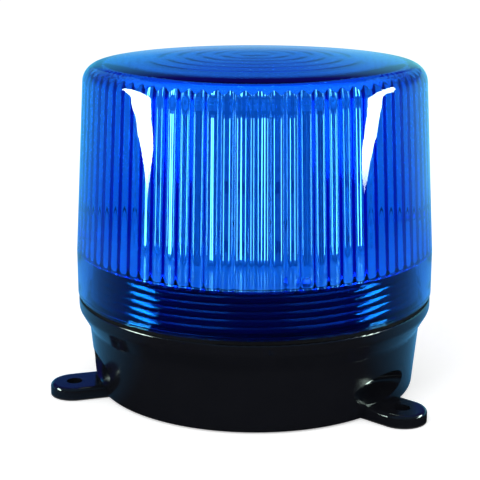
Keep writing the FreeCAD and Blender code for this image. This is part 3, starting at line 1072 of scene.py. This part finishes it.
@dataclass(frozen=True)
class Card:
    """Bright card beside the object, brighter for the gloss behind clear plastic and faded at its foot.

    A corner is an azimuth in degrees to the right of the camera and a height.
    """

    name: str
    corners: Pairs
    distance: float = 300.0
    colour: str = "#E4FFF2"
    strength: float = 30.0
    boost: float = 9.0
    fade_low: float = 27.0
    fade_high: float = 46.0

    def build(self) -> None:
        """Hang the card."""
        material, tree = empty_material(self.name)
        place = add_node(tree, "ShaderNodeTexCoord")
        height = add_node(tree, "ShaderNodeSeparateXYZ", {"Vector": (place, "Object")})
        path = add_node(tree, "ShaderNodeLightPath")
        direct = add_node(tree, "ShaderNodeMath", {0: (path, "Diffuse Depth")}, {1: ONE_BOUNCE},
                          operation="LESS_THAN")
        through = add_node(tree, "ShaderNodeMath", {0: (direct, "Value"), 1: (path, "Is Transmission Ray")},
                           operation="MULTIPLY")
        level = add_node(tree, "ShaderNodeMapRange", {"Value": (through, "Value")}, {
            "To Min": self.strength, "To Max": self.strength * self.boost})
        faded = add_node(tree, "ShaderNodeMapRange", {"Value": (height, "Z"), "To Max": (level, "Result")}, {
            "From Min": self.fade_low * MM, "From Max": self.fade_high * MM})
        light = add_node(tree, "ShaderNodeEmission", {"Strength": (faded, "Result")}, {
            "Color": linear(self.colour)})
        add_node(tree, "ShaderNodeOutputMaterial", {"Surface": (light, "Emission")})
        corners = [heading(azimuth) * self.distance + Vector((0, 0, z)) for azimuth, z in self.corners]
        hang(self.name, sheet(self.name, corners), material)


class Along(Enum):
    """What a fade in the tent runs along."""

    UP = "direction from the origin: 0 is level and 1 straight up"
    BACK = "direction from the origin: -1 is towards the camera and 1 away from it"
    ACROSS = "direction from the origin: -1 is to the left of the camera and 1 to the right"
    REACH = "distance from the origin in metres"


@dataclass(frozen=True)
class Fade:
    """Stretch of the tent over which one colour or number goes over into another."""

    along: Along
    low: float
    high: float


@dataclass(frozen=True)
class Tent:
    """Tent round the object for its gloss and its clear plastic, with a flag at each side of the lens.

    In the gloss it is dark towards the camera, blue behind and deep violet above. Through clear plastic it is
    deep blue, with bright upper sides that glint in what is behind, and an open back. It lets the light of
    the surround in to what is inside. The flags keep the tips of the cards out of the gloss of the roof. A
    corner of a flag is a place towards the camera and a height.
    """

    radius: float = 1400.0
    floor_z: float = 0.3
    segments: int = 48
    strength: float = 1.1
    glint_front: float = 0.6
    glint_side: float = 8.0
    flag_out: float = 62.0
    flag_corners: Pairs = ((-55, 95.5), (22, 95.5), (22, 103), (48, 103), (48, 150), (-55, 150))

    rear_foot: str = "#62A8DC"
    rear_fades: tuple[tuple[Fade, str], ...] = (
        (Fade(Along.UP, 0.0, 0.04), "#84BEE8"),
        (Fade(Along.UP, 0.06, 0.15), "#3E86D0"),
        (Fade(Along.ACROSS, 0.05, 0.2), "#7CE7FF"),
        (Fade(Along.ACROSS, -0.06, -0.24), "#52C9FF"),
        (Fade(Along.UP, 0.15, 0.38), "#1A1490"),
    )
    side: str = "#1E50B8"
    side_to_rear: Fade = Fade(Along.BACK, 0.1, 0.7)
    front_low: str = "#0F151E"
    front_high: str = "#2C5A78"
    front_rise: Fade = Fade(Along.UP, 0.2, 0.5)
    front_to_side: Fade = Fade(Along.BACK, -0.35, 0.3)
    ground_front: str = "#10141C"
    ground_rear: str = "#56A6E0"
    ground_turn: Fade = Fade(Along.BACK, -0.6, 0.45)
    ground_to_wall: Fade = Fade(Along.REACH, 0.2, 0.35)
    clear_ground: str = "#0A1478"
    clear_wall: str = "#1024C8"
    clear_roof: str = "#2A78DC"
    clear_rise: Fade = Fade(Along.UP, 0.3, 0.5)
    glint_turn: Fade = Fade(Along.BACK, -0.75, -0.3)
    glint_end: Fade = Fade(Along.BACK, 0.2, 0.6)
    gap_turn: Fade = Fade(Along.BACK, 0.2, 0.7)
    gap_top: Fade = Fade(Along.UP, 0.3, 0.4)

    def _material(self) -> bpy.types.Material:
        """Make the paper of the tent.

        Returns:
            A material that glows by direction, and by how the light came to it.
        """
        material, tree = empty_material("tent_paper")
        place: Link = (add_node(tree, "ShaderNodeTexCoord"), "Object")
        aim: Link = (add_node(tree, "ShaderNodeVectorMath", {0: place}, operation="NORMALIZE"), "Vector")
        back, across = ((add_node(tree, "ShaderNodeVectorMath", {0: aim}, {1: heading(azimuth)},
                                  operation="DOT_PRODUCT"), "Value") for azimuth in (180.0, 90.0))
        places: dict[Along, Link] = {
            Along.UP: (add_node(tree, "ShaderNodeSeparateXYZ", {"Vector": aim}), "Z"),
            Along.BACK: back,
            Along.ACROSS: across,
            Along.REACH: (add_node(tree, "ShaderNodeVectorMath", {0: place}, operation="LENGTH"), "Value"),
        }
        path = add_node(tree, "ShaderNodeLightPath")
        through: Link = (path, "Is Transmission Ray")

        def rise(fade: Fade, one: float = 0.0, two: float = 1.0) -> Link:
            """Number that goes from one to another over a fade."""
            return add_node(tree, "ShaderNodeMapRange", {"Value": places[fade.along]}, {
                "From Min": fade.low, "From Max": fade.high, "To Min": one, "To Max": two}), "Result"

        def ramp(fade: Fade, one: Link | str, two: Link | str) -> Link:
            """Colour that goes from one to another over a fade."""
            return blend(tree, rise(fade), one, two)

        def product(one: Link, two: Link) -> Link:
            """Product of two numbers."""
            return add_node(tree, "ShaderNodeMath", {0: one, 1: two}, operation="MULTIPLY"), "Value"

        rear: Link | str = self.rear_foot
        for fade, colour in self.rear_fades:
            rear = ramp(fade, rear, colour)
        front = ramp(self.front_rise, self.front_low, self.front_high)
        wall = ramp(self.front_to_side, front, ramp(self.side_to_rear, self.side, rear))
        ground = ramp(self.ground_turn, self.ground_front, self.ground_rear)
        gloss = ramp(self.ground_to_wall, ground, wall)
        deep = ramp(self.ground_to_wall, self.clear_ground, self.clear_wall)
        deep = ramp(self.clear_rise, deep, self.clear_roof)
        glint = product(product(rise(self.clear_rise), rise(self.glint_end, 1.0, 0.0)), through)
        glint = product(glint, rise(self.glint_turn, self.glint_front, self.glint_side))
        strength = add_node(tree, "ShaderNodeMath", {0: glint}, {1: self.strength}, operation="ADD")
        light = add_node(tree, "ShaderNodeEmission", {
            "Color": blend(tree, through, gloss, deep), "Strength": (strength, "Value")})

        inside = add_node(tree, "ShaderNodeMath", {0: (path, "Diffuse Depth")}, {1: ONE_BOUNCE},
                          operation="GREATER_THAN")
        gap = product(rise(self.gap_turn), rise(self.gap_top, 1.0, 0.0))
        clear = add_node(tree, "ShaderNodeMath", {0: (inside, "Value"), 1: gap}, operation="MAXIMUM")
        gone = add_node(tree, "ShaderNodeBsdfTransparent")
        surface = add_node(tree, "ShaderNodeMixShader", {
            0: product((clear, "Value"), through), 1: (light, "Emission"), 2: (gone, "BSDF")})
        add_node(tree, "ShaderNodeOutputMaterial", {"Surface": (surface, "Shader")})
        return material

    def build(self) -> None:
        """Put up the tent and stand the flags beside the lens."""
        work = bmesh.new()
        bmesh.ops.create_uvsphere(work, u_segments=self.segments, v_segments=self.segments // 2,
                                  radius=self.radius * MM)
        for vert in work.verts:
            vert.co.z = max(vert.co.z, self.floor_z * MM)
        mesh = bpy.data.meshes.new("tent")
        work.to_mesh(mesh)
        work.free()
        material = self._material()
        hang("tent", mesh, material)
        for name, azimuth in (("flag_left", -90.0), ("flag_right", 90.0)):
            foot = heading(azimuth) * self.flag_out
            corners = [foot + heading(0.0) * ahead + Vector((0, 0, z)) for ahead, z in self.flag_corners]
            hang(name, sheet(name, corners), material).visible_transmission = False


@dataclass(frozen=True)
class Studio:
    """Camera of the photograph, floor, surround, lamps, a low card at each side and a tent for the gloss."""

    camera_distance: float = 354.3
    camera_height: float = 131.5
    pitch_deg: float = 14.5
    focal_mm: float = 96.7
    sensor_mm: float = 36.0
    image_px: float = 480.0
    axis_px: float = 254.85
    ambient: float = 0.6
    floor_half: float = 4000.0
    floor_drop: float = 0.2
    floor_grain: float = 25.0
    floor_colour: str = "#F2F3F4"
    floor_shade: str = "#F6F6F6"
    floor_lift: float = 0.46
    lights: tuple[Lamp | Card | Tent, ...] = (
        Lamp("key", -40.0, 900.0, 5.0),
        Lamp("fill", 45.0, 700.0, 2.5),
        Card("card_left", (
            (-65, 28), (-68, 41), (-73.5, 58), (-75.5, 69), (-79, 75), (-85.5, 138), (-92, 178), (-91.5, 208),
            (-86, 210), (-76, 188), (-66, 124), (-63.6, 72), (-62, 60), (-61.7, 51), (-63.2, 42))),
        Card("card_right", (
            (67, 30), (71.5, 42), (77, 55), (80, 68), (82, 73), (87, 111), (94, 122), (99, 162), (100, 197),
            (97.5, 201), (89.5, 195), (80.5, 163), (73, 102), (70, 72), (66, 50), (65.5, 40))),
        Tent(),
    )

    def camera(self) -> None:
        """Set up the camera, turned aside so that the object's axis lies where the photograph has it."""
        data = bpy.data.cameras.new("camera")
        data.lens = self.focal_mm
        data.sensor_width = self.sensor_mm
        camera = bpy.data.objects.new("camera", data)
        bpy.context.collection.objects.link(camera)
        place = heading(0.0) * self.camera_distance + Vector((0, 0, self.camera_height))
        camera.location = place * MM
        focal_px = self.focal_mm / self.sensor_mm * self.image_px
        aside = math.atan((self.axis_px - self.image_px / 2) / focal_px)
        turn = math.radians(CAMERA_AZIMUTH) + aside
        camera.rotation_euler = (math.radians(90.0 - self.pitch_deg), 0.0, turn)
        bpy.context.scene.camera = camera

    def world(self) -> None:
        """Set up a white surround for the eye, mirrors and glass, with a softer light on matt surfaces."""
        world = bpy.data.worlds.new("studio")
        world.use_nodes = True
        tree = world.node_tree
        tree.nodes.clear()
        path = add_node(tree, "ShaderNodeLightPath")
        seen: Link = (path, "Is Camera Ray")
        for ray in ("Is Glossy Ray", "Is Transmission Ray"):
            seen = (add_node(tree, "ShaderNodeMath", {0: seen, 1: (path, ray)}, operation="MAXIMUM"), "Value")
        strength = add_node(tree, "ShaderNodeMapRange", {"Value": seen}, {
            "To Min": self.ambient, "To Max": 1.0})
        back = add_node(tree, "ShaderNodeBackground", {"Strength": (strength, "Result")}, {
            "Color": linear("#FFFFFF")})
        add_node(tree, "ShaderNodeOutputWorld", {"Surface": (back, "Background")})
        bpy.context.scene.world = world

    def floor(self) -> None:
        """Lay a pale floor that keeps the object's shadow and reads as white to the camera."""
        material, tree = empty_material("floor_paper")
        place = add_node(tree, "ShaderNodeTexCoord")
        noise = add_node(tree, "ShaderNodeTexNoise", {"Vector": (place, "Object")}, {
            "Scale": 1 / (self.floor_grain * MM)})
        colour = blend(tree, (noise, "Fac"), self.floor_colour, self.floor_shade)
        paper = add_node(tree, "ShaderNodeBsdfDiffuse", {"Color": colour})
        path = add_node(tree, "ShaderNodeLightPath")
        lift = add_node(tree, "ShaderNodeMath", {0: (path, "Is Camera Ray")}, {1: self.floor_lift},
                        operation="MULTIPLY")
        white = add_node(tree, "ShaderNodeEmission", {"Strength": (lift, "Value")})
        both = add_node(tree, "ShaderNodeAddShader", {0: (paper, "BSDF"), 1: (white, "Emission")})
        add_node(tree, "ShaderNodeOutputMaterial", {"Surface": (both, "Shader")})
        half = self.floor_half
        mesh = sheet("floor", [Vector((x, y, 0)) for x, y in ((-half, -half), (half, -half), (half, half),
                                                              (-half, half))])
        mesh.materials.append(material)
        floor = bpy.data.objects.new("floor", mesh)
        floor.location.z = -self.floor_drop * MM
        bpy.context.collection.objects.link(floor)

    def build(self) -> None:
        """Set up all of it."""
        bpy.context.scene.view_settings.view_transform = "Standard"
        self.camera()
        self.world()
        self.floor()
        for light in self.lights:
            light.build()


def board_screws(board: str, circle_r: float, first_deg: float, count: int = 3) -> Screws:
    """Screws with crossed recesses that hold a round board.

    Args:
        board: which board, deck or driver.
        circle_r: radius of the circle that the screws stand on.
        first_deg: angle of the first one.
        count: number of screws.

    Returns:
        The screws, with their heads on the board.
    """
    turns = [math.radians(first_deg + 360.0 * k / count) for k in range(count)]
    centres = [(circle_r * math.cos(t), circle_r * math.sin(t)) for t in turns]
    return Screws(board + "_screw_set", board + "_screws", centres, box_mm(board + "_board")[1].z)


def terminal_screws() -> Screws:
    """Slotted screws of the terminal block, one in each well.

    Returns:
        The screws, as wide as those of the CAD node.
    """
    low, high = box_mm("terminal_screws")
    head_r = (high.y - low.y) / 2
    middle_y = (low.y + high.y) / 2
    length = 1.2
    return Screws("terminal_screw_set", "terminal_screws",
                  [(low.x + head_r, middle_y), (high.x - head_r, middle_y)], low.z + length, head_r=head_r,
                  head_height=1.2, shank_r=1.1, length=length, recess=Recess.SLOT, recess_depth=0.7)


def main() -> None:
    """Build the pieces in order, dress the CAD nodes and set up the studio."""
    logging.basicConfig(level=logging.INFO, format="%(name)s: %(message)s")
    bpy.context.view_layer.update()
    pieces = [
        Lens().build(),
        NeckThread().build(),
        *LightTower().build(),
        board_screws("deck", circle_r=38.3, first_deg=60.0).build(),
        board_screws("driver", circle_r=27.0, first_deg=0.0).build(),
        terminal_screws().build(),
    ]
    # The upright boards take the white resist painted darker for shade.
    boards = {"led_board_%d" % number: TOWER_BOARD_PAINTED_SHADE for number in range(1, LightTower.faces + 1)}
    Carried({
        "base_housing": BASE, "cable_grommet": RUBBER, "lens_seal": RUBBER,
        "driver_board": BOARD_GREEN, "deck_board": BOARD_WHITE, "cap_board": BOARD_WHITE, **boards,
        "tower_leds": LED_BODY, "cap_leds": LED_BODY, "tower_resistors": GLAZE,
        "terminal_block": POLYAMIDE, "storage_capacitors": SLEEVE, "inductor_core": FERRITE,
        "inductor_winding": COPPER, "power_transistor": EPOXY, "timer_chip": EPOXY,
        "link_wire_red": PVC_RED, "link_wire_black": PVC_BLACK,
    }).dress()
    Studio().build()
    for piece in pieces:
        log.info("%s: %d faces", piece.name, len(piece.data.polygons))
    bpy.context.view_layer.update()


if __name__ == "__main__":
    main()
